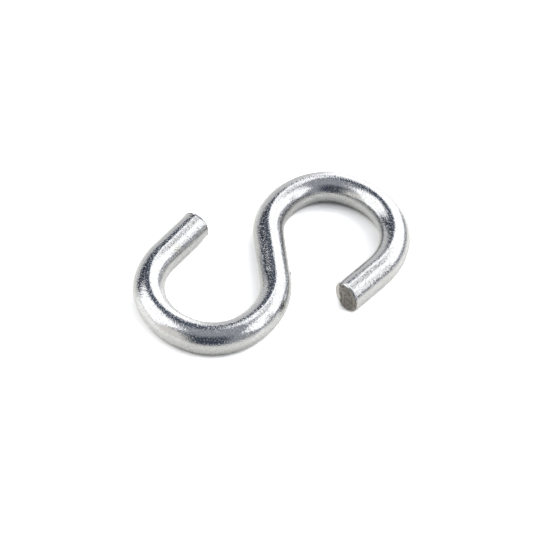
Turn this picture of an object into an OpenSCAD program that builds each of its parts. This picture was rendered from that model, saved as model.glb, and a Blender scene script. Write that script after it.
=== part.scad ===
// S hook bent from one length of round steel wire, open at both ends, lying flat.
// The shank runs along Y. One loop turns away at each end of it, and both loops
// lie in the same plane, so the hook rests on the floor along its whole length.
// Each loop is a chain of arcs that meet tangentially: a wide bend off the shank,
// a tighter crown and a wide return bend, then a short straight leg to the cut end.

/* [Wire] */
// Diameter of the wire
wire_d = 5; // [3:0.1:7]
// Straight length of wire between the two loops
shank_len = 10; // [8:0.5:40]
// Diameter that the wire loses on the two legs, which are gripped for the cut
leg_draw = 0.02; // [0.02:0.01:0.1]

/* [Near loop] */
// Bend radius off the shank, at the centre of the wire
near_side_r = 12; // [10:0.5:20]
// Angle of the bend off the shank
near_side_a = 60; // [40:1:75]
// Bend radius of the crown, at the centre of the wire
near_crown_r = 8; // [6:0.5:16]
// Angle of the crown
near_crown_a = 56; // [30:1:70]
// Radius of the return bend, at the centre of the wire
near_run_r = 11.5; // [10:0.5:20]
// Angle of the return bend
near_run_a = 105; // [85:1:115]
// Straight length of the leg, on its centre line
near_leg = 8.9; // [4:0.1:14]
// Slope of the cut that ends the leg; below 0 it is longer on the inside of the loop
near_cut_a = -2; // [-10:1:20]

/* [Far loop] */
// Bend radius off the shank, at the centre of the wire
far_side_r = 11; // [10:0.5:20]
// Angle of the bend off the shank
far_side_a = 68; // [45:1:80]
// Bend radius of the crown, at the centre of the wire
far_crown_r = 8; // [6:0.5:16]
// Angle of the crown
far_crown_a = 46; // [30:1:65]
// Radius of the return bend, at the centre of the wire
far_run_r = 12; // [10:0.5:20]
// Angle of the return bend
far_run_a = 114; // [90:1:120]
// Straight length of the leg, on its centre line
far_leg = 7.9; // [4:0.1:14]
// Slope of the cut that ends the leg; below 0 it is longer on the inside of the loop
far_cut_a = 6; // [-10:1:20]

/* [Cut ends] */
// Width of the bright band that the blade leaves before the wire breaks off
shear_w = 1.1; // [0.2:0.1:2]
// Slope of that band against the broken face
shear_a = 6; // [5:1:40]
// Roll of the band's edge about the leg
shear_roll = -5; // [-45:5:45]
// Rounding that the cut leaves on the rim
rim = 0.2; // [0.1:0.05:0.6]

/* [Scrape on the shank] */
// Depth of the scrape at its deep end
scrape_depth = 0.15; // [0.05:0.05:0.4]
// Length over which the scrape runs out to nothing
scrape_len = 5.4; // [2:0.2:5.4]
// Distance of its deep end from the near end of the shank
scrape_gap = 1.6; // [1:0.1:2.5]
// Height of the burr above the wire
burr_h = 0.15; // [0.1:0.05:0.6]
// Length of the burr along the wire
burr_len = 1.8; // [1:0.1:3]
// Width of the burr round the wire
burr_w = 1.2; // [0.6:0.1:2]

/* [Hidden] */
$fn = 96;
wire_r = wire_d / 2;
// Length of leg that runs inside the end of the bend
leg_root = 0.2;
// Height of the scrape's deep end along Y, from the middle of the shank
scrape_y = scrape_gap - shank_len / 2;
// Distance from there to the top of the burr
burr_rise = 0.45 * burr_len;

// Point at distance r and angle a from the origin.
function polar(r, a) = r * [cos(a), sin(a)];

// Moves to p in a coarse step and a fine one, so that arcs placed one by one
// still meet exactly when a file keeps only six digits of each number.
module at(p) {
  coarse = [for (x = p) round(x * 1000) / 1000];
  translate(coarse) translate(p - coarse) children();
}

// Arc of wire about the point c, at radius r, from angle a0 back to angle a1.
module arc(c, r, a0, a1)
  at(c) rotate_extrude(angle = a0 - a1, start = a1) translate([r, 0]) circle(d = wire_d);

// Straight leg along Y with its sheared end: a rounded rim, the sloping broken
// face, and the bright band along the side that the blade went in.
module leg(len, cut_a) {
  leg_r = wire_r - leg_draw / 2;
  spare = 2 * wire_d;
  difference() {
    rotate([-90, 0, 0]) translate([0, 0, -leg_root]) {
      cylinder(r = leg_r, h = len + leg_root);
      translate([0, 0, len + leg_root]) cylinder(r1 = leg_r, r2 = leg_r - 2 * rim, h = 2 * rim);
    }
    translate([0, len, 0]) rotate([0, 0, -cut_a])
      translate([-spare, 0, -spare]) cube(2 * spare);
    translate([0, len, 0]) rotate([0, -shear_roll, -cut_a])
      translate([wire_r - shear_w, 0, 0]) rotate([0, 0, -shear_a])
        translate([-spare, 0, -spare]) cube(2 * spare);
  }
}

// Everything beyond one end of the shank. The wire arrives at the origin along Y
// and turns to the right; each arc's centre lies on the line through the last
// one's centre and the point where the two arcs touch.
module loop(side_r, side_a, crown_r, crown_a, run_r, run_a, leg_len, cut_a) {
  a1 = 180 - side_a;
  a2 = a1 - crown_a;
  a3 = a2 - run_a;
  side_c = [side_r, 0];
  crown_c = side_c + polar(side_r - crown_r, a1);
  run_c = crown_c + polar(crown_r - run_r, a2);
  arc(side_c, side_r, 180, a1);
  arc(crown_c, crown_r, a1, a2);
  arc(run_c, run_r, a2, a3);
  at(run_c + polar(run_r, a3)) rotate([0, 0, a3 - 180]) leg(leg_len, cut_a);
}

// Shallow scrape along the side of the shank. It deepens towards its near end, and
// from there climbs steeply to the top of the burr.
module scrape()
  translate([0, scrape_y, -wire_r])
    linear_extrude(wire_d)
      polygon([[wire_r - scrape_depth, 0], [wire_r, scrape_len], [wire_d, scrape_len],
               [wire_d, -burr_rise], [wire_r + burr_h, -burr_rise]]);

// Burr that the scrape pushed up at its near end, tapering away into the wire.
module burr()
  translate([0, scrape_y, -burr_w / 2])
    linear_extrude(burr_w)
      polygon([[0, 0], [wire_r - scrape_depth, 0], [wire_r + burr_h, -burr_rise],
               [wire_r - burr_h, -burr_len], [0, -burr_len]]);

// The whole hook, with the centre of the wire at half its diameter above the floor.
module s_hook()
  color("silver")
    translate([0, 0, wire_r]) {
      difference() {
        union() {
          translate([0, -shank_len / 2, 0]) rotate([-90, 0, 0]) cylinder(d = wire_d, h = shank_len);
          translate([0, shank_len / 2, 0])
            loop(far_side_r, far_side_a, far_crown_r, far_crown_a,
                 far_run_r, far_run_a, far_leg, far_cut_a);
          rotate([0, 0, 180]) translate([0, shank_len / 2, 0])
            loop(near_side_r, near_side_a, near_crown_r, near_crown_a,
                 near_run_r, near_run_a, near_leg, near_cut_a);
        }
        scrape();
      }
      burr();
    }

s_hook();
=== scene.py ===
# %% [markdown]
# # An open S hook of bright zinc-plated wire
#
# The real object is one length of 5 mm wire: drawn steel with a skin of bright zinc,
# sheared off at both ends and bent cold into two open loops. There is nothing on it to
# hide behind: what makes it look real is an even round section, bends that flow into
# each other, honest cut ends, and a skin that mirrors the studio with a slight ripple.
#
# The imported model is loaded first. It gives the thickness of the wire, and its box is
# set against the new wire's at the end. All lengths here are in metres.

import math

import bpy
import numpy as np
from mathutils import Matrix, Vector


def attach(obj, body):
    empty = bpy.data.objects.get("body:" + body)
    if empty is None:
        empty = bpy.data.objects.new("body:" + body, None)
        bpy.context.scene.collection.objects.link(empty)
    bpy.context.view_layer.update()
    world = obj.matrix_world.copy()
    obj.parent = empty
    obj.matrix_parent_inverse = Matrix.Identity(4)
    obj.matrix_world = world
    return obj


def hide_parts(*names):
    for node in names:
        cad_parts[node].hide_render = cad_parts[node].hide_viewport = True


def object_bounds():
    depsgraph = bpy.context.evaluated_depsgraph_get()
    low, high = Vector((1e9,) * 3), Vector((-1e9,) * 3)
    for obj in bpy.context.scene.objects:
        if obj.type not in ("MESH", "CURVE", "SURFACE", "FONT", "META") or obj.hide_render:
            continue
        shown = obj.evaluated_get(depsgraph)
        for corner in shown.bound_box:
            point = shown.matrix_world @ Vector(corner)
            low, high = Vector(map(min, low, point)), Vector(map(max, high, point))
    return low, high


MM = 0.001

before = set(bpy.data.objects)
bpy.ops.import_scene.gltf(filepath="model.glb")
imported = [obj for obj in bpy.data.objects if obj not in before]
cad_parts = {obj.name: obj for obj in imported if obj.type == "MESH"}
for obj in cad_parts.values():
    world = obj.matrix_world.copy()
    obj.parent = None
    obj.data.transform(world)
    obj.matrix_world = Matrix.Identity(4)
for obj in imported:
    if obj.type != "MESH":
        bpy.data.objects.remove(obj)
cad_low, cad_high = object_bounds()
wire_r = (cad_high.z - cad_low.z) / 2
print("wire radius: %.3f mm" % (wire_r / MM))

# %% [markdown]
# ## The camera
#
# A small object is best seen from a hand's length or two away through a long lens, so
# that the far loop looks only a little smaller than the near one. The camera stands 45
# degrees above the table.
#
# It could be placed by trial, but two angles and a distance say the same thing and stay
# readable: the camera is put on a sphere round the middle of the shank, and then slid
# sideways and down a little, which places the hook in the view without turning it.

# %% Camera
CAMERA_AZIMUTH = math.radians(-6.25)
CAMERA_ELEVATION = math.radians(45)
CAMERA_DISTANCE = 300 * MM
CAMERA_SLIDE = (-0.355 * MM, -1.954 * MM)
LENS_MM = 125.6


def camera_axes(azimuth, elevation):
    """The camera's right, up and backward directions."""
    back = Vector((math.sin(azimuth) * math.cos(elevation),
                   -math.cos(azimuth) * math.cos(elevation),
                   math.sin(elevation)))
    right = Vector((math.cos(azimuth), math.sin(azimuth), 0))
    return right, back.cross(right), back


right, up, back = camera_axes(CAMERA_AZIMUTH, CAMERA_ELEVATION)
shank_middle = Vector((0, 0, wire_r))
camera = bpy.data.objects.new("camera", bpy.data.cameras.new("camera"))
camera.data.lens = LENS_MM
camera.data.clip_start = 0.01
camera.data.clip_end = 10
camera.location = (shank_middle + back * CAMERA_DISTANCE
                   + right * CAMERA_SLIDE[0] + up * CAMERA_SLIDE[1])
camera.rotation_mode = "QUATERNION"
camera.rotation_quaternion = (-back).to_track_quat("-Z", "Y")
bpy.context.scene.collection.objects.link(camera)
bpy.context.scene.camera = camera
bpy.context.scene.view_settings.view_transform = "Standard"
print("camera at", [round(c / MM, 1) for c in camera.location], "mm")

# %% [markdown]
# ## The course of the wire
#
# Bent wire has no free-form curves in it. Each bend is made round a pin, so the middle
# of the wire is a chain of arcs that touch tangentially, with a straight shank between
# the two loops and a straight leg at each end. It could be drawn as a spline through
# points, but a spline bulges between its points and its curvature wanders, which a
# mirror finish shows at once. So the course is walked like a turtle: from the middle of
# the shank, each run has a length and a turn, and both are known exactly at every step.

# %% Walk along the wire
SHANK_LENGTH = 10 * MM
FAR_BENDS = [(11 * MM, 68), (8 * MM, 46), (12 * MM, 114)]
NEAR_BENDS = [(12 * MM, 60), (8 * MM, 56), (11.5 * MM, 105)]
FAR_LEG = 7.9 * MM
NEAR_LEG = 8.9 * MM


def runs(bends, leg):
    """Each run from the middle of the shank outwards, as its length and curvature."""
    turns = [(radius * math.radians(angle), -1 / radius) for radius, angle in bends]
    return [(SHANK_LENGTH / 2, 0.0)] + turns + [(leg, 0.0)]


def walk(course, distance):
    """Places and headings on the centre line, at these distances from the middle."""
    place = np.zeros(distance.shape + (2,))
    heading = np.full(distance.shape, math.pi / 2)
    for number, (length, curvature) in enumerate(course):
        longest = np.inf if number == len(course) - 1 else length
        step = np.clip(distance, 0, longest)
        turned = heading + curvature * step
        if curvature:
            place[..., 0] += (np.sin(turned) - np.sin(heading)) / curvature
            place[..., 1] += (np.cos(heading) - np.cos(turned)) / curvature
        else:
            place[..., 0] += step * np.cos(heading)
            place[..., 1] += step * np.sin(heading)
        heading = turned
        distance = distance - step
    return place, heading


far_course = runs(FAR_BENDS, FAR_LEG)
near_course = runs(NEAR_BENDS, NEAR_LEG)
far_length = sum(length for length, _ in far_course)
near_length = sum(length for length, _ in near_course)
print("wire length: %.1f mm" % ((far_length + near_length) / MM))

# %% [markdown]
# The two loops leave the shank in opposite directions, so one walk serves both: the
# near loop is the same kind of walk, turned half a circle. A distance below zero means
# the near half. Together they give the place of any point of the wire, from where it
# would lie if the wire were straight.

# %% Bend a straight wire
def bend(along, across, height):
    """Where points of the straight wire end up. Across is to the right of the course."""
    far_place, far_heading = walk(far_course, np.maximum(along, 0))
    near_place, near_heading = walk(near_course, np.maximum(-along, 0))
    far_half = along >= 0
    place = np.where(far_half[..., None], far_place, -near_place)
    heading = np.where(far_half, far_heading, near_heading)
    return np.stack([place[..., 0] + across * np.sin(heading),
                     place[..., 1] - across * np.cos(heading),
                     wire_r + height], axis=-1)


far_tip = bend(np.array([far_length]), np.zeros(1), np.zeros(1))[0]
print("far tip at", [round(float(c) / MM, 2) for c in far_tip], "mm")

# %% [markdown]
# ## The cut ends
#
# A bolt cutter or a shear leaves two zones on round wire: a narrow bright band where
# the blade slid in, and behind it the broken face, duller and a little rough. The cut
# is never quite square. A boolean cut would give the right planes but ragged faces
# round them, so the end is described as a height over the wire's section instead: the
# lower of two sloping planes, with a rounded rim and a grain of broken steel.

# %% Shape of a cut end
RIM = 0.2 * MM
SHEAR_WIDTH = 1.1 * MM
SHEAR_SLOPE = math.radians(6)
SHEAR_ROLL = math.radians(-5)
FAR_CUT = math.radians(6)
NEAR_CUT = math.radians(-2)
BREAK_GRAIN = 0.03 * MM
BREAK_CELLS = (1.1, 0.5, 0.22)
RIDGE_SEED = 9
RIDGE_CELL = 0.7 * MM
RIDGE_WANDER = 0.02 * MM
RIDGE_WIDTH = 0.012 * MM
LATTICE = 64


def lattice_noise(x, y, cell, seed):
    """Smooth random heights between -1 and 1, one new value each cell."""
    values = np.random.default_rng(seed).uniform(-1, 1, (LATTICE, LATTICE))
    u, v = x / cell + LATTICE // 2, y / cell + LATTICE // 2
    i, j = np.floor(u).astype(int), np.floor(v).astype(int)
    p, q = u - i, v - j
    p, q = p * p * (3 - 2 * p), q * q * (3 - 2 * q)
    low = values[i, j] * (1 - p) + values[i + 1, j] * p
    high = values[i, j + 1] * (1 - p) + values[i + 1, j + 1] * p
    return low * (1 - q) + high * q


def cut_planes(inward, height, slope):
    """Height of the broken face and of the blade's band, past the nominal end."""
    c, s = math.cos(slope), math.sin(slope)
    out = np.array([math.sin(SHEAR_SLOPE) * math.cos(SHEAR_ROLL), math.cos(SHEAR_SLOPE),
                    math.sin(SHEAR_SLOPE) * math.sin(SHEAR_ROLL)])
    edge = (wire_r - SHEAR_WIDTH) * np.array([math.cos(SHEAR_ROLL), 0, math.sin(SHEAR_ROLL)])
    turn = np.array([[c, s, 0], [-s, c, 0], [0, 0, 1]])
    out, edge = turn @ out, turn @ edge
    broken = -inward * math.tan(slope)
    band = edge[1] - (out[0] * (inward - edge[0]) + out[2] * (height - edge[2])) / out[1]
    return broken, band


def cut_face(inward, height, slope, seed):
    """The face of a cut end over the wire's section, and how much of it is broken."""
    broken, band = cut_planes(inward, height, slope)
    ragged = lattice_noise(inward, height, RIDGE_CELL, seed + RIDGE_SEED) * RIDGE_WANDER
    torn = np.clip((band - broken + ragged) / RIDGE_WIDTH, 0, 1)
    rough = sum(lattice_noise(inward, height, size * MM, seed + k) * BREAK_GRAIN * size
                for k, size in enumerate(BREAK_CELLS))
    return np.minimum(broken, band) + rough * torn, torn


print("far cut: %.2f mm out of square" % (2 * wire_r * math.tan(FAR_CUT) / MM))

# %% [markdown]
# ## The scrape on the shank
#
# Something hard has slid along the side of the shank. It left a shallow flat, which
# deepens as it goes, and pushed the metal up into a small burr where it stopped. Both
# are changes of the wire's radius, so they are worked straight into the rings.

# %% Radius along the wire
SCRAPE_START = -3.4 * MM
SCRAPE_LENGTH = 5.4 * MM
SCRAPE_DEPTH = 0.15 * MM
BURR_LENGTH = 1.8 * MM
BURR_RISE = 0.45 * BURR_LENGTH
BURR_HEIGHT = 0.15 * MM
BURR_WIDTH = 1.2 * MM
BURR_SIDE = 0.15 * MM
SCRAPED_SIDE = math.cos(math.radians(60))


def radius(along, angle):
    """Radius of the skin at a distance along the wire and an angle round it."""
    facing = np.maximum(np.cos(angle), SCRAPED_SIDE)
    on_side = np.cos(angle) > SCRAPED_SIDE
    past = along - SCRAPE_START
    floor = np.interp(past, [-BURR_RISE, 0, SCRAPE_LENGTH],
                      [wire_r + BURR_HEIGHT, wire_r - SCRAPE_DEPTH, wire_r])
    scraped = np.where(on_side, np.minimum(wire_r, floor / facing), wire_r)
    crest = np.interp(past, [-BURR_LENGTH, -BURR_RISE, 0],
                      [wire_r - BURR_HEIGHT, wire_r + BURR_HEIGHT, wire_r - SCRAPE_DEPTH])
    on_burr = (past > -BURR_LENGTH) & (past < 0) & on_side
    side = np.clip((BURR_WIDTH / 2 - wire_r * np.abs(np.sin(angle))) / BURR_SIDE, 0, 1)
    lift = np.maximum(crest / facing - scraped, 0) * side
    return scraped + np.where(on_burr, lift, 0)


print("top of the burr: %.2f mm above the wire" % (BURR_HEIGHT / MM))

# %% [markdown]
# ## One mesh for the whole wire
#
# The rings stand a quarter of a millimetre apart, and closer at the burr and near the
# ends. On the legs they are stretched or squeezed a little, so that the last one follows
# the sloping cut. Then come the rings of the rounded rim and of the face, to its middle.
#
# A blade also pushes a little metal up just behind the cut. That lip is taken here as an
# uneven bead just under a tenth of a millimetre high, which catches light round the face.
# It could be a bump in the finish, but a bump leaves the outline straight, so it is added
# to the radius of the last rings. Two waves round the wire make it uneven, and it fades
# out on the side that lies on the table.

# %% Rings
AROUND = 144
RING_STEP = 0.25 * MM
FINE_STEP = 0.06 * MM
BURR_MARGIN = (0.2 * MM, 0.4 * MM)
LIP_HEIGHT = 0.09 * MM
LIP_BACK = 0.10 * MM
LIP_WIDTH = 0.13 * MM
LIP_ZONE = 1 * MM
LIP_MEAN, LIP_SWING = 0.7, 0.3
LIP_WAVES = (3, 7)
LIP_FADE = 1.5
LIP_LOWEST = 0.8
RIM_STEPS = 6
FACE_STEPS = 44
INNERMOST_RING = 0.03 * MM
FAR_SEED, NEAR_SEED = 11, 23

angles = np.linspace(0, 2 * math.pi, AROUND, endpoint=False)


def spaced(start, stop, step):
    """Evenly spaced values from start up to, but without, stop."""
    return np.linspace(start, stop, max(2, round((stop - start) / step)), endpoint=False)


def tube_rings():
    """Straight-wire places of the rings between the two rims."""
    burr_from = SCRAPE_START - BURR_LENGTH - BURR_MARGIN[0]
    burr_to = SCRAPE_START + BURR_MARGIN[1]
    stations = np.concatenate([
        spaced(-near_length, -near_length + LIP_ZONE, FINE_STEP / 2),
        spaced(-near_length + LIP_ZONE, burr_from, RING_STEP),
        spaced(burr_from, burr_to, FINE_STEP),
        spaced(burr_to, far_length - LIP_ZONE, RING_STEP),
        spaced(far_length - LIP_ZONE, far_length, FINE_STEP / 2),
        [far_length]])
    along = np.repeat(stations[:, None], AROUND, axis=1)
    angle = np.repeat(angles[None, :], len(stations), axis=0)
    across, height = wire_r * np.cos(angle), wire_r * np.sin(angle)
    waves = np.sin(LIP_WAVES[0] * angle + 1) * np.sin(LIP_WAVES[1] * angle)
    uneven = LIP_MEAN + LIP_SWING * waves
    clear_of_table = np.clip(LIP_FADE * (np.sin(angle) + LIP_LOWEST), 0, 1)
    lip = np.zeros(along.shape)
    for side, length, leg, slope in ((1, far_length, FAR_LEG, FAR_CUT),
                                     (-1, near_length, NEAR_LEG, NEAR_CUT)):
        end = np.minimum(*cut_planes(side * across, height, slope)) - RIM
        on_leg = np.clip((side * along - (length - leg)) / leg, 0, 1)
        from_crest = (length - side * stations - LIP_BACK)[:, None] / LIP_WIDTH
        lip += LIP_HEIGHT * uneven * clear_of_table * np.exp(-from_crest ** 2)
        along = along + side * on_leg * end
    reach = radius(along, angle) + lip
    return along, reach * np.cos(angle), reach * np.sin(angle), np.zeros(along.shape)


def end_rings(side, length, slope, seed):
    """Straight-wire places of the rings from the rim to the middle of a cut face."""
    turn = np.linspace(0, math.pi / 2, RIM_STEPS + 1)[1:]
    reach = np.concatenate([wire_r - RIM * (1 - np.cos(turn)),
                            np.linspace(wire_r - RIM, INNERMOST_RING, FACE_STEPS)[1:]])
    drop = np.concatenate([RIM * (1 - np.sin(turn)), np.zeros(FACE_STEPS - 1)])
    across = reach[:, None] * np.cos(angles)
    height = reach[:, None] * np.sin(angles)
    face, torn = cut_face(side * across, height, slope, seed)
    return side * (length + face - drop[:, None]), across, height, torn


tube = tube_rings()
far_end = end_rings(1, far_length, FAR_CUT, FAR_SEED)
near_end = end_rings(-1, near_length, NEAR_CUT, NEAR_SEED)
print("rings on the tube:", len(tube[0]), "on each end:", len(far_end[0]))

# %% [markdown]
# The rings are stitched with quads, each end closes on one middle point, and the
# straight-wire places go along as an attribute called `straight`. The cut faces take
# the second material slot, from halfway round the rim inwards. A boolean or a vertex
# group could mark them too, but here the number of a ring already says where it is.

# %% Stitch the mesh
def stitch(first, second):
    """Quads between two rings, given as their first point's numbers."""
    here = np.arange(AROUND)
    ahead = (here + 1) % AROUND
    return np.stack([first + here, first + ahead, second + ahead, second + here], axis=1)


order = [near_end[k][::-1] for k in range(4)], tube, far_end
along, across, height, torn = (np.concatenate([part[k] for part in order]) for k in range(4))
ring_count = len(along)
face_rings = len(far_end[0]) - RIM_STEPS // 2
quads = np.concatenate([stitch(k * AROUND, (k + 1) * AROUND) for k in range(ring_count - 1)])
straight = np.concatenate([np.stack([across, height, along], -1).reshape(-1, 3),
                           [(0, 0, -near_length), (0, 0, far_length)]])
points = bend(straight[:, 2], straight[:, 0], straight[:, 1])
near_middle, far_middle = len(points) - 2, len(points) - 1
first_ring, last_ring = 0, (ring_count - 1) * AROUND
fans = [(near_middle, first_ring + (k + 1) % AROUND, first_ring + k) for k in range(AROUND)]
fans += [(far_middle, last_ring + k, last_ring + (k + 1) % AROUND) for k in range(AROUND)]

mesh = bpy.data.meshes.new("hook_wire")
mesh.from_pydata(points.tolist(), [], quads[:, ::-1].tolist() + [f[::-1] for f in fans])
mesh.attributes.new("straight", "FLOAT_VECTOR", "POINT").data.foreach_set(
    "vector", (straight / MM).astype(np.float32).ravel())
mesh.attributes.new("torn", "FLOAT", "POINT").data.foreach_set(
    "value", np.append(torn.ravel(), [1, 1]).astype(np.float32))
mesh.polygons.foreach_set("use_smooth", [True] * len(mesh.polygons))
ring_of = np.repeat(np.arange(ring_count - 1), AROUND)
on_face = (ring_of < face_rings) | (ring_of >= ring_count - 1 - face_rings)
mesh.polygons.foreach_set("material_index", on_face.astype(int).tolist() + [1] * len(fans))
mesh.update()
hook = bpy.data.objects.new("hook_wire", mesh)
bpy.context.scene.collection.objects.link(hook)
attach(hook, "root")
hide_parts("s_hook")
low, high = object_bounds()
print("triangles:", 2 * len(quads) + len(fans))
print("box of the wire against the frame's, in mm:",
      [round((a - b) / MM, 3) for a, b in zip([*low, *high], [*cad_low, *cad_high])])

# %% [markdown]
# ## Effects that the finishes share
#
# Zinc plated on drawn wire has two textures at once. The bath leaves a fine ripple,
# like the skin of an orange, and under it the drawing die has left hair lines along the
# wire. Both could be displaced in the mesh, but they are a hundredth of a millimetre
# deep or less, so they are worked as bump. They are built once, as node groups that put
# out plain heights and masks, and each finish uses them with its own values. Their place
# comes from the attribute `straight`, in millimetres, so that the grain follows the
# bends without a seam.
#
# First come the small helpers that keep the node trees readable: one makes a node and
# fills or links its sockets, and the others name the steps that are used most.

# %% Node helpers
def add(tree, kind, fill, **settings):
    """A node with its settings made, and its sockets set or linked."""
    node = tree.nodes.new(kind)
    for name, value in settings.items():
        setattr(node, name, value)
    for name, value in fill.items():
        if isinstance(value, bpy.types.NodeSocket):
            tree.links.new(value, node.inputs[name])
        else:
            node.inputs[name].default_value = value
    return node


def maths(tree, operation, first, second):
    """One Math node over two sockets or numbers."""
    return add(tree, "ShaderNodeMath", {0: first, 1: second}, operation=operation).outputs[0]


def ease(tree, value, low, high):
    """0 below low, 1 above high, and smooth between."""
    fill = {"Value": value, "From Min": low, "From Max": high}
    return add(tree, "ShaderNodeMapRange", fill, interpolation_type="SMOOTHSTEP").outputs[0]


def noise(tree, place, scale, detail, roughness):
    """Noise with so many grains per millimetre."""
    fill = {"Vector": place, "Scale": scale, "Detail": detail, "Roughness": roughness}
    return add(tree, "ShaderNodeTexNoise", fill).outputs[0]


def new_group(name, values, outputs):
    """An empty node group that takes a place and some named values."""
    group = bpy.data.node_groups.new(name, "ShaderNodeTree")
    group.interface.new_socket("Place", in_out="INPUT", socket_type="NodeSocketVector")
    for socket, value in values.items():
        made = group.interface.new_socket(socket, in_out="INPUT", socket_type="NodeSocketFloat")
        made.default_value = value
    for socket in outputs:
        group.interface.new_socket(socket, in_out="OUTPUT", socket_type="NodeSocketFloat")
    enter, leave = group.nodes.new("NodeGroupInput"), group.nodes.new("NodeGroupOutput")
    return group, enter.outputs, leave.inputs


print("node helpers: add, maths, ease, noise, new_group")

# %% [markdown]
# The orange peel is two sizes of round grain, one laid over the other. A single noise
# with many octaves would do, but then the share of the fine grain couldn't be set, and
# it is the fine grain that breaks up the edge of a reflection.

# %% Orange peel
FINER_GRAIN = 2.6

peel_group, given, gives = new_group("orange_peel", {"Grains per mm": 3, "Fine share": 0.3},
                                     ["Height"])
coarse = noise(peel_group, given["Place"], given["Grains per mm"], detail=1, roughness=0.5)
finer = maths(peel_group, "MULTIPLY", given["Grains per mm"], FINER_GRAIN)
fine = noise(peel_group, given["Place"], finer, detail=1, roughness=0.5)
fine = maths(peel_group, "MULTIPLY", fine, given["Fine share"])
peel_group.links.new(maths(peel_group, "ADD", coarse, fine), gives["Height"])
print("group:", peel_group.name)

# %% [markdown]
# A die leaves lines that run on for centimetres. A wave texture gives lines too, but
# evenly spaced ones. So round grain is pulled out along the wire, by shrinking the
# place in that direction before the noise reads it.

# %% Drawing lines
PULL_ALONG_WIRE = (1, 1, 0.035)

lines_group, given, gives = new_group("drawing_lines", {"Lines per mm": 4.5}, ["Height"])
shrink = {0: given["Place"], 1: PULL_ALONG_WIRE}
pulled = add(lines_group, "ShaderNodeVectorMath", shrink, operation="MULTIPLY").outputs[0]
hair = noise(lines_group, pulled, given["Lines per mm"], detail=3, roughness=0.65)
lines_group.links.new(hair, gives["Height"])
print("group:", lines_group.name)

# %% [markdown]
# Where fingers and other hooks have touched it, zinc dulls in loose clouds. They could
# be painted by hand, but noise cut at a level gives the same clouds, and one value says
# how much of the skin they cover: the more cover, the lower the level.

# %% Handling marks
MARKS_LEVEL = 0.72
MARKS_FALL = 0.3
MARKS_EDGE = 0.16

marks_group, given, gives = new_group("handling_marks", {"Marks per mm": 0.5, "Cover": 0.4},
                                      ["Mask"])
spots = noise(marks_group, given["Place"], given["Marks per mm"], detail=4, roughness=0.62)
bare = maths(marks_group, "MULTIPLY_ADD", given["Cover"], -MARKS_FALL)
bare.node.inputs[2].default_value = MARKS_LEVEL
full = maths(marks_group, "ADD", bare, MARKS_EDGE)
marks_group.links.new(ease(marks_group, spots, bare, full), gives["Mask"])
print("group:", marks_group.name)

# %% [markdown]
# ## Putting a material together
#
# Each finish starts the same way: a shader, and the place along the straight wire. Then
# groups are set in with their own values, mixed and laid over each other as bumps. The
# shader stays in the material itself, and so does every value that is the same all over.

# %% Material helpers
def new_material(name):
    """A material with its shader and the place along the straight wire."""
    material = bpy.data.materials.new(name)
    material.use_nodes = True
    tree = material.node_tree
    place = add(tree, "ShaderNodeAttribute", {}, attribute_name="straight").outputs["Vector"]
    return material, tree, tree.nodes["Principled BSDF"], place


def use(tree, group, place, **values):
    """A group node. Its values are named as in the group, with _ for a space."""
    fill = {name.replace("_", " "): value for name, value in values.items()}
    node = add(tree, "ShaderNodeGroup", {}, node_tree=group)
    tree.links.new(place, node.inputs["Place"])
    for name, value in fill.items():
        node.inputs[name].default_value = value
    return node.outputs


def mix(tree, kind, factor, first, second):
    """Mix of two colours or two numbers."""
    a, b, out = {"RGBA": (6, 7, 2), "FLOAT": (2, 3, 0)}[kind]
    fill = {0: factor, a: first, b: second}
    return add(tree, "ShaderNodeMix", fill, data_type=kind).outputs[out]


def bump(tree, height, depth, under=None):
    """A bump of this depth, laid over another one if there is one under it."""
    fill = {"Height": height, "Distance": depth, "Strength": 1}
    if under is not None:
        fill["Normal"] = under
    return add(tree, "ShaderNodeBump", fill).outputs[0]


print("material helpers: new_material, use, mix, bump")

# %% [markdown]
# ## Bright zinc
#
# Fresh zinc is a mid-grey metal, and a bluish one. It only looks white where it mirrors
# a lamp, so the grey must not be lightened to make it shine. The ripple and the lines go
# to the normal through two bumps, one after the other. Dull handling marks warm the grey.
#
# The skin isn't one even mirror. Between bright grains lie small matt ones, which give
# the finish its sparkle. They could be spots of another colour, but zinc is the same
# metal everywhere, so they change only the roughness.

# %% Bright zinc
ZINC_GREY = (0.565, 0.57, 0.585, 1)
ZINC_WARM = (0.54, 0.53, 0.505, 1)
PEEL_DEPTH = 0.010 * MM
LINE_DEPTH = 0.008 * MM
MIRROR_ROUGH, MATT_ROUGH = 0.055, 0.45
MATT_PER_MM = 4.5
MATT_FROM, MATT_TO = 0.60, 0.67

zinc, tree, shader, place = new_material("bright_zinc")
shader.inputs["Metallic"].default_value = 1
peel = use(tree, peel_group, place, Grains_per_mm=1.8, Fine_share=2.1)
lines = use(tree, lines_group, place, Lines_per_mm=4.5)
marks = use(tree, marks_group, place, Marks_per_mm=0.45, Cover=0.5)
ripple = bump(tree, peel["Height"], PEEL_DEPTH)
tree.links.new(bump(tree, lines["Height"], LINE_DEPTH, ripple), shader.inputs["Normal"])
tree.links.new(mix(tree, "RGBA", marks["Mask"], ZINC_GREY, ZINC_WARM),
               shader.inputs["Base Color"])
grains = noise(tree, place, MATT_PER_MM, detail=0, roughness=0.5)
matt = ease(tree, grains, MATT_FROM, MATT_TO)
tree.links.new(mix(tree, "FLOAT", matt, MIRROR_ROUGH, MATT_ROUGH), shader.inputs["Roughness"])
print("material:", zinc.name)

# %% [markdown]
# ## Sheared steel
#
# The cut face is steel. Where the blade slid it is pale and satin, and where the wire
# broke it is darker, warmer and grainy. The mesh says which is which with the attribute
# `torn`, so that the change of finish falls exactly on the ridge between the two. The
# broken part is mottled in soft patches: hard-edged stains would look like holes in it.

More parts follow.
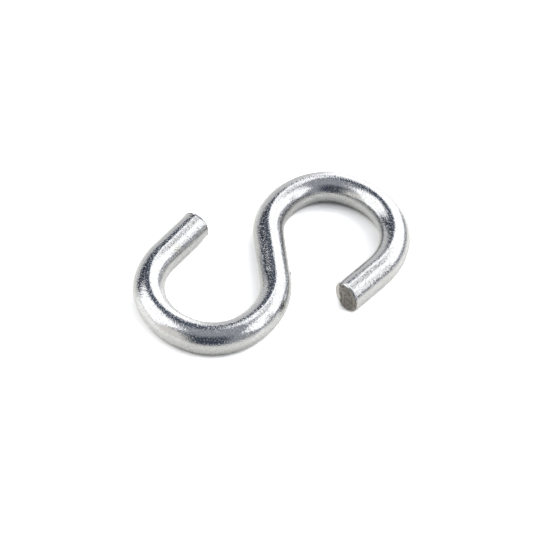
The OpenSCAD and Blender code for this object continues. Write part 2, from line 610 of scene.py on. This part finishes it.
# %% Sheared steel
BLADE_GREY = (0.58, 0.57, 0.54, 1)
TORN_GREY = (0.36, 0.34, 0.32, 1)
TORN_STAIN = (0.12, 0.111, 0.103, 1)
GRAIN_DEPTH = 0.09 * MM
MOTTLE_PER_MM = 2.4
MOTTLE_FROM, MOTTLE_TO = 0.4, 0.6
BLADE_ROUGH, TORN_ROUGH = 0.32, 0.5
BLADE_GRAIN = 0.12
STEEL_METALLIC = 0.85

sheared, tree, shader, place = new_material("sheared_steel")
shader.inputs["Metallic"].default_value = STEEL_METALLIC
torn_mask = add(tree, "ShaderNodeAttribute", {}, attribute_name="torn").outputs["Fac"]
grain = use(tree, peel_group, place, Grains_per_mm=3, Fine_share=0.8)
clouds = noise(tree, place, MOTTLE_PER_MM, detail=3, roughness=0.75)
mottle = ease(tree, clouds, MOTTLE_FROM, MOTTLE_TO)
steel = mix(tree, "RGBA", mottle, TORN_STAIN, TORN_GREY)
tree.links.new(mix(tree, "RGBA", torn_mask, BLADE_GREY, steel), shader.inputs["Base Color"])
tree.links.new(mix(tree, "FLOAT", torn_mask, BLADE_ROUGH, TORN_ROUGH), shader.inputs["Roughness"])
depth = maths(tree, "MULTIPLY", grain["Height"], maths(tree, "MAXIMUM", torn_mask, BLADE_GRAIN))
tree.links.new(bump(tree, depth, GRAIN_DEPTH), shader.inputs["Normal"])
hook.data.materials.append(zinc)
hook.data.materials.append(sheared)
print("materials on the wire:", [m.name for m in hook.data.materials])

# %% [markdown]
# ## The studio
#
# A bright metal has no look of its own: it shows the room. So the lamps here are real
# sheets of light with a shape, and their edges draw the bands that run along the wire.
# There is a softbox on the left, one on the right and one between them, a bright backdrop
# behind the table, a dark gap between the left softbox and the rest, and a darker room on
# the camera's side. Thin dark strips where the softboxes meet draw the fine lines on the
# legs.
#
# Area lamps could do it too, but a sheet with soft edges mirrors as a real softbox does.
# Directions are given as seen from the hook: so many degrees to the side and so many up.

# %% Directions in the studio
def studio_direction(azimuth, elevation):
    """Direction in the studio. Azimuth 0 is straight ahead of the camera, 90 its right."""
    ahead = Vector((-back.x, -back.y, 0)).normalized()
    a, e = math.radians(azimuth), math.radians(elevation)
    return (ahead * math.cos(a) + right * math.sin(a)) * math.cos(e) + Vector((0, 0, math.sin(e)))


middle_way = studio_direction(0, 0)
print("straight ahead of the camera:", [round(c, 3) for c in middle_way])

# %% [markdown]
# A softbox is brightest in its middle and fades at its cloth edge. The glow does the
# same: it only shines, and it turns clear towards the edges of the sheet. A lamp object
# has hard edges, which a mirror shows as a cut line.

# %% Glow
def glow(name, colour, strength, feather):
    """A material that only shines. A feather is the share of a sheet that fades to clear."""
    material = bpy.data.materials.new(name)
    material.use_nodes = True
    tree = material.node_tree
    tree.nodes.clear()
    shine = add(tree, "ShaderNodeEmission", {"Color": (*colour, 1), "Strength": strength})
    out = add(tree, "ShaderNodeOutputMaterial", {0: shine.outputs[0]})
    if feather is None:
        return material
    place = add(tree, "ShaderNodeUVMap", {}, uv_map="sheet").outputs[0]
    split = add(tree, "ShaderNodeSeparateXYZ", {0: place}).outputs
    fade = [ease(tree, maths(tree, "PINGPONG", split[k], 0.5), 0, feather) for k in (0, 1)]
    clear = add(tree, "ShaderNodeBsdfTransparent", {})
    both = {0: maths(tree, "MULTIPLY", *fade), 1: clear.outputs[0], 2: shine.outputs[0]}
    tree.links.new(add(tree, "ShaderNodeMixShader", both).outputs[0], out.inputs[0])
    return material


print("light helper: glow")

# %% [markdown]
# Each sheet is a patch of a sphere round the hook. A flat panel would do, but a curved
# one keeps the same distance everywhere, so sheets can overlap in a known order. The
# camera doesn't see them: they show only in the metal and as light. Each is given as it is
# set up in a studio: where its middle stands, how wide and how high it looks from the
# hook, and how far it leans. A nearer one hides a farther one.

# %% Sheets of light
SHEET_STEPS = 10
FARTHEST_SHEET = 1.4
SHEET_SPACING = 0.05


def sheet(name, distance, centre, width, height, roll, colour, strength, feather):
    """A curved sheet of light. Width and height are angles, and roll lifts its right side."""
    middle = np.array(studio_direction(*centre))
    level = np.array(studio_direction(centre[0] + 90, 0))
    upright = np.cross(level, middle)
    c, s = math.cos(math.radians(roll)), math.sin(math.radians(roll))
    along_width = (level * c + upright * s) * math.tan(math.radians(width / 2))
    along_height = (upright * c - level * s) * math.tan(math.radians(height / 2))
    u, v = np.meshgrid(*[np.linspace(0, 1, SHEET_STEPS + 1)] * 2)
    u, v = u[..., None], v[..., None]
    place = middle + along_width * (2 * u - 1) + along_height * (2 * v - 1)
    place *= distance / np.linalg.norm(place, axis=-1, keepdims=True)
    row = SHEET_STEPS + 1
    quads = [(k, k + 1, k + row + 1, k + row)
             for k in range(row * SHEET_STEPS) if k % row < SHEET_STEPS]
    mesh = bpy.data.meshes.new(name)
    mesh.from_pydata(place.reshape(-1, 3).tolist(), [], quads)
    flat = np.concatenate([u, v], -1).reshape(-1, 2)[np.ravel(quads)]
    mesh.uv_layers.new(name="sheet").data.foreach_set("uv", flat.astype(np.float32).ravel())
    mesh.materials.append(glow(name, colour, strength, feather))
    piece = bpy.data.objects.new(name, mesh)
    piece.visible_camera = False
    bpy.context.scene.collection.objects.link(piece)


WHITE, COOL, WARM = (1, 1, 1), (0.94, 0.98, 1.06), (1.04, 1, 0.94)
BLUE = (0.8, 0.95, 1.25)
SOFTBOX = 1.9
SHEETS = [
    # name, centre, width, height, roll, colour, strength, feather, from the farthest inwards
    ("left_wall", (-110, 10), 100, 60, -10, WARM, 1.0, 0.3),
    ("camera_side", (190, 25), 80, 80, 0, BLUE, 0.1, 0.3),
    ("backdrop", (-10, 10), 80, 60, 0, WHITE, 0.85, 0.02),
    ("left_softbox", (-76, 34), 54, 60, -8, WHITE, SOFTBOX, 0.05),
    ("right_softbox", (70, 37), 90, 48, 0, WHITE, SOFTBOX, 0.06),
    ("middle_softbox", (18, 35), 34, 66, 0, WHITE, SOFTBOX, 0.04),
    ("divider", (42, 55), 34, 5, 0, WHITE, 0.1, 0.12),
    ("dark_gap", (-36, 28), 68, 20, 38, BLUE, 0.08, 0.08),
    ("ceiling_gap", (-15, 55), 22, 36, 12, BLUE, 0.15, 0.08),
    ("right_wall", (80, -5), 90, 24, 0, COOL, 0.4, 0.15),
    ("right_joint", (92, 20), 5, 40, 15, WHITE, 0.2, 0.15),
]
for number, (name, *looks) in enumerate(SHEETS):
    sheet(name, FARTHEST_SHEET - SHEET_SPACING * number, *looks)
print("sheets of light:", len(SHEETS))

# %% [markdown]
# ## The room
#
# Round the lamps stands a dim room, so that every part of the metal has something to
# mirror. A plain world colour would light the hook as well, but then the white background
# and the grey of the room couldn't differ. So the room is a shell that the camera doesn't
# see.

# %% Room
ROOM_LEVEL = 0.44
ROOM_RADIUS = 1.5

bpy.ops.mesh.primitive_uv_sphere_add(segments=48, ring_count=24, radius=ROOM_RADIUS)
room = bpy.context.object
room.name = "studio_room"
room.data.materials.append(glow("studio_room", COOL, ROOM_LEVEL, None))
room.visible_camera = False
print("room: %.1f m across" % (2 * ROOM_RADIUS))

# %% [markdown]
# ## The table
#
# The table is white paper. The camera should see it as plain white, with only a tight
# shadow round the hook, as on a light table. That shadow is partly the lamps' real one and
# partly painted shadow, set below. More lamps would bleach the hook, so the paper answers
# the camera alone with a little more than it receives.

# %% Table
TABLE_RADIUS = 1.45

bpy.ops.mesh.primitive_circle_add(vertices=96, radius=TABLE_RADIUS, fill_type="NGON")
table = bpy.context.object
table.name = "table"
paper = bpy.data.materials.new("paper")
paper.use_nodes = True
table.data.materials.append(paper)
tree = paper.node_tree
tree.nodes.clear()
print("table: %.1f m across" % (2 * TABLE_RADIUS))

# %% [markdown]
# A paper that answers with more than it receives would wash the shadow out as well. So the
# shadow is painted into the paper's colour from how closed in the paper is, measured
# twice, and so it still follows the hook. Within half a millimetre all round gives painted
# shade, a dark line where the wire touches it. Further out, and on the side of the main
# lamp only, gives a painted soft shadow on the other side.

# %% Painted shadow on the paper
PAPER_SEEN = 3.0
PAINTED_CONTACT_REACH = 0.55 * MM
PAINTED_CONTACT_WHITE = 0.2
PAINTED_SHADOW_REACH = 8 * MM
PAINTED_SHADOW_WHITE = 0.45
PAINTED_SHADOW_FULL = 0.3
PAINTED_SHADOW_LAMP = (112, 25)
AO_SAMPLES = 8


def openness(reach, **facing):
    """How open the paper lies: 1 with nothing within reach, 0 when closed in."""
    fill = {"Distance": reach, **facing}
    return add(tree, "ShaderNodeAmbientOcclusion", fill, samples=AO_SAMPLES).outputs["AO"]


# Painted shade and painted shadow: both openness measures darken the colour the camera sees, on
# top of the lamps' real shadow.
openness_for_painted_contact = openness(PAINTED_CONTACT_REACH)
seen_white_with_painted_shadow = mix(tree, "FLOAT", openness_for_painted_contact, PAINTED_CONTACT_WHITE * PAPER_SEEN, PAPER_SEEN)
painted_shadow_way = studio_direction(*PAINTED_SHADOW_LAMP)
painted_shadow_way = {0: painted_shadow_way.x, 1: painted_shadow_way.y, 2: painted_shadow_way.z}
painted_shadow_way = add(tree, "ShaderNodeCombineXYZ", painted_shadow_way).outputs[0]
openness_for_painted_shadow = ease(tree, openness(PAINTED_SHADOW_REACH, Normal=painted_shadow_way), PAINTED_SHADOW_FULL, 1)
seen_white_with_painted_shadow = maths(tree, "MULTIPLY", seen_white_with_painted_shadow, mix(tree, "FLOAT", openness_for_painted_shadow, PAINTED_SHADOW_WHITE, 1))
print("shadow reaches %.1f mm, contact %.2f mm" % (PAINTED_SHADOW_REACH / MM, PAINTED_CONTACT_REACH / MM))

# %% [markdown]
# Seen in the metal, the paper keeps its own warm white, and it shines where it is seen
# edge on, as coated paper does. That sheen darkens the low band that the wire mirrors.
# One white for camera and metal alike would be simpler, but it would make the lower side
# of the wire as bright as its lamps.

# %% Colour and sheen of the paper
PAPER = 0.86
PAPER_MIRRORED = 1.48
PAPER_WARM = (1, 0.979, 0.905, 1)
PAPER_PLAIN = (1, 0.995, 0.985, 1)
WHITE_PAINT = (1, 1, 1, 1)
SHEEN_IOR = 1.9
SHEEN_ROUGHNESS = 0.2

rays = add(tree, "ShaderNodeLightPath", {}).outputs
mirrored = maths(tree, "ADD", rays["Is Glossy Ray"], rays["Is Transmission Ray"])
white = mix(tree, "FLOAT", mirrored, PAPER, PAPER_MIRRORED)
white = mix(tree, "FLOAT", rays["Is Camera Ray"], white, seen_white_with_painted_shadow)
tint = mix(tree, "RGBA", rays["Is Camera Ray"], PAPER_WARM, PAPER_PLAIN)
tinted = add(tree, "ShaderNodeVectorMath", {0: tint, 1: white}, operation="MULTIPLY").outputs[0]
fleece = add(tree, "ShaderNodeBsdfDiffuse", {"Color": tinted})
sheen = add(tree, "ShaderNodeBsdfGlossy", {"Color": WHITE_PAINT, "Roughness": SHEEN_ROUGHNESS})
glance = add(tree, "ShaderNodeFresnel", {"IOR": SHEEN_IOR}).outputs[0]
glance = maths(tree, "MULTIPLY", glance, mirrored)
both = add(tree, "ShaderNodeMixShader", {0: glance, 1: fleece.outputs[0], 2: sheen.outputs[0]})
add(tree, "ShaderNodeOutputMaterial", {0: both.outputs[0]})
print("material:", paper.name)

# %% [markdown]
# ## The background
#
# Past the edge of the table the camera sees the world, so the world is plain white. The
# room hides it from the metal.

# %% Background
world = bpy.data.worlds.new("white_surround")
bpy.context.scene.world = world
world.use_nodes = True
world.node_tree.nodes["Background"].inputs["Color"].default_value = WHITE_PAINT
world.node_tree.nodes["Background"].inputs["Strength"].default_value = 1
print("world:", world.name)
